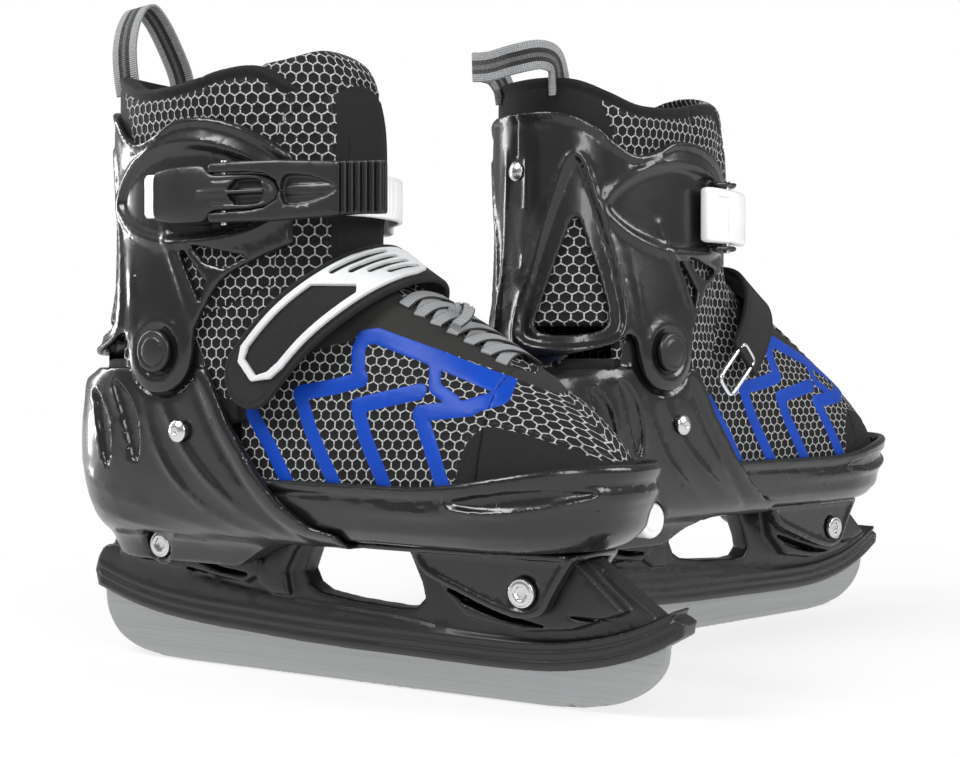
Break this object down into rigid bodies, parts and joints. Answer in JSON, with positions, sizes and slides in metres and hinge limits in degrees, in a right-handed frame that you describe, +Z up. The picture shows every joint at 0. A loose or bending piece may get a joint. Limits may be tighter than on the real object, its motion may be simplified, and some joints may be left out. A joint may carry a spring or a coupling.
{
  "type": "ice skates",
  "caption": "Size-adjustable hard-shell ice skates with hinged ankle cuffs, lever buckles, instep straps and bolted steel blades.",
  "frame": {"origin": "centre of the footprint of the standing pair, on the ice under the blade edges", "axes": "+X is the right skate's toe direction, +Z up; the left skate stands beside it, its toe turned 74 degrees from +X towards +Y"},
  "size_m": [0.304, 0.4058, 0.3018],
  "materials": {
    "blade_steel": "brushed stainless blade, ground lengthwise",
    "holder_plastic": "satin black moulding",
    "shell_plastic": "glossy black moulding",
    "white_plastic": "glossy white moulding",
    "fastener_steel": "zinc-plated fastener",
    "chrome": "polished wire",
    "liner_fabric": "black padded lining cloth and synthetic leather",
    "mesh_fabric": "black spacer mesh with a light lattice and blue welded film",
    "lace_fabric": "flat grey and black lace",
    "webbing": "black hook-and-loop strap",
    "loop_webbing": "ribbed webbing, grey with a black middle stripe",
    "badge_rubber": "moulded light grey trim, no lettering"
  },
  "bodies": {
    "right_shell": {"right_heel_shell": "shell_plastic", "right_blade_holder": "holder_plastic", "right_blade": "blade_steel", "right_heel_liner": "liner_fabric", "right_heel_bolt": "fastener_steel", "right_heel_nut": "fastener_steel", "right_front_bolt": "fastener_steel", "right_front_nut": "fastener_steel", "right_outer_side_rivet": "fastener_steel", "right_inner_side_rivet": "fastener_steel", "right_outer_pivot": "shell_plastic", "right_inner_pivot": "shell_plastic"},
    "right_toe": {"right_toe_shell": "shell_plastic", "right_vamp": "mesh_fabric", "right_toe_cap": "liner_fabric", "right_laces": "lace_fabric", "right_instep_strap": "webbing", "right_strap_badge": "badge_rubber", "right_strap_ring": "chrome"},
    "right_cuff": {"right_cuff": "shell_plastic", "right_ankle_collar": "liner_fabric", "right_tongue": "liner_fabric", "right_buckle_base": "shell_plastic", "right_lever_pin": "chrome", "right_ladder_strap": "white_plastic", "right_strap_anchor_pin": "chrome", "right_cuff_back_rivet": "fastener_steel", "right_pull_loop": "loop_webbing"},
    "right_lever": {"right_buckle_lever": "shell_plastic"},
    "right_button": {"right_size_button": "white_plastic"},
    "left_shell": {"left_heel_shell": "shell_plastic", "left_blade_holder": "holder_plastic", "left_blade": "blade_steel", "left_heel_liner": "liner_fabric", "left_heel_bolt": "fastener_steel", "left_heel_nut": "fastener_steel", "left_front_bolt": "fastener_steel", "left_front_nut": "fastener_steel", "left_outer_side_rivet": "fastener_steel", "left_inner_side_rivet": "fastener_steel", "left_outer_pivot": "shell_plastic", "left_inner_pivot": "shell_plastic"},
    "left_toe": {"left_toe_shell": "shell_plastic", "left_vamp": "mesh_fabric", "left_toe_cap": "liner_fabric", "left_laces": "lace_fabric", "left_instep_strap": "webbing", "left_strap_badge": "badge_rubber", "left_strap_ring": "chrome"},
    "left_cuff": {"left_cuff": "shell_plastic", "left_ankle_collar": "liner_fabric", "left_tongue": "liner_fabric", "left_buckle_base": "shell_plastic", "left_lever_pin": "chrome", "left_ladder_strap": "white_plastic", "left_strap_anchor_pin": "chrome", "left_cuff_back_rivet": "fastener_steel", "left_pull_loop": "loop_webbing"},
    "left_lever": {"left_buckle_lever": "shell_plastic"},
    "left_button": {"left_size_button": "white_plastic"}
  },
  "joints": [
    {"name": "right_size_slide", "type": "slide", "parent": "right_shell", "child": "right_toe", "axis": [1, 0, 0], "range_m": [0, 0.02]},
    {"name": "right_cuff_flex", "type": "hinge", "parent": "right_shell", "child": "right_cuff", "pos_m": [-0.075, -0.14971, 0.141], "axis": [0, 1, 0], "range_deg": [0, 7], "stiffness_Nm_per_rad": 6},
    {"name": "right_lever_hinge", "type": "hinge", "parent": "right_cuff", "child": "right_lever", "pos_m": [-0.03641, -0.19688, 0.206], "axis": [0, 0, -1], "range_deg": [0, 105]},
    {"name": "right_button_press", "type": "slide", "parent": "right_shell", "child": "right_button", "axis": [0, -1, 0], "range_m": [0, 0.004], "stiffness_N_per_m": 800},
    {"name": "left_size_slide", "type": "slide", "parent": "left_shell", "child": "left_toe", "axis": [0.2756, 0.9613, 0], "range_m": [0, 0.02]},
    {"name": "left_cuff_flex", "type": "hinge", "parent": "left_shell", "child": "left_cuff", "pos_m": [0.04255, -0.01711, 0.141], "axis": [-0.9613, 0.2756, 0], "range_deg": [0, 7], "stiffness_Nm_per_rad": 6},
    {"name": "left_lever_hinge", "type": "hinge", "parent": "left_cuff", "child": "left_lever", "pos_m": [0.00784, 0.03299, 0.206], "axis": [0, 0, 1], "range_deg": [0, 105]},
    {"name": "left_button_press", "type": "slide", "parent": "left_shell", "child": "left_button", "axis": [-0.9613, 0.2756, 0], "range_m": [0, 0.004], "stiffness_N_per_m": 800},
    {"name": "left_skate_place", "type": "slide", "parent": "right_shell", "child": "left_shell", "axis": [0, 1, 0], "range_m": [0, 0.15]}
  ]
}
